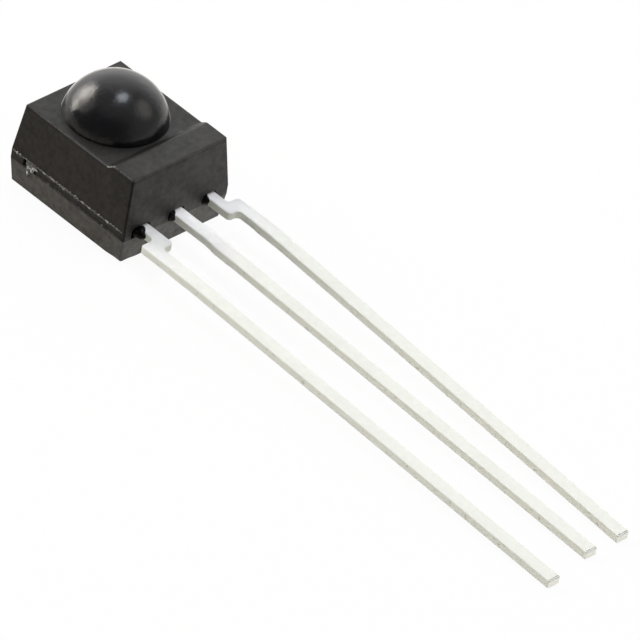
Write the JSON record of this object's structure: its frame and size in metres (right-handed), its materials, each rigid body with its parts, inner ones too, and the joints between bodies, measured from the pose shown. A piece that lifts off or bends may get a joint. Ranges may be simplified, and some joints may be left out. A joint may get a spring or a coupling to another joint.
{
  "type": "infrared receiver module",
  "caption": "Three-lead through-hole infrared receiver: drafted dark epoxy body with a spherical lens, a raised pad and long tinned leads with stepped necks.",
  "frame": {"origin": "on the back face, under the axis of the lens", "axes": "+Z along the lens's axis, out of the lens; -Y towards the tips of the leads; X across the body"},
  "size_m": [0.006, 0.0323, 0.0058],
  "materials": {
    "epoxy": "matte moulded walls, polished lens",
    "tinned_lead": "satin tin plate",
    "silicon": "polished",
    "die_attach": "matte silver-filled adhesive",
    "bond_wire": "drawn gold wire"
  },
  "bodies": {
    "root": {"package": "epoxy", "output_lead": "tinned_lead", "ground_lead": "tinned_lead", "supply_lead": "tinned_lead", "photodiode_die": "silicon", "receiver_ic_die": "silicon", "photodiode_attach": "die_attach", "receiver_ic_attach": "die_attach", "photodiode_wire": "bond_wire", "output_wire": "bond_wire", "supply_wire": "bond_wire", "ground_wire": "bond_wire"}
  },
  "joints": []
}
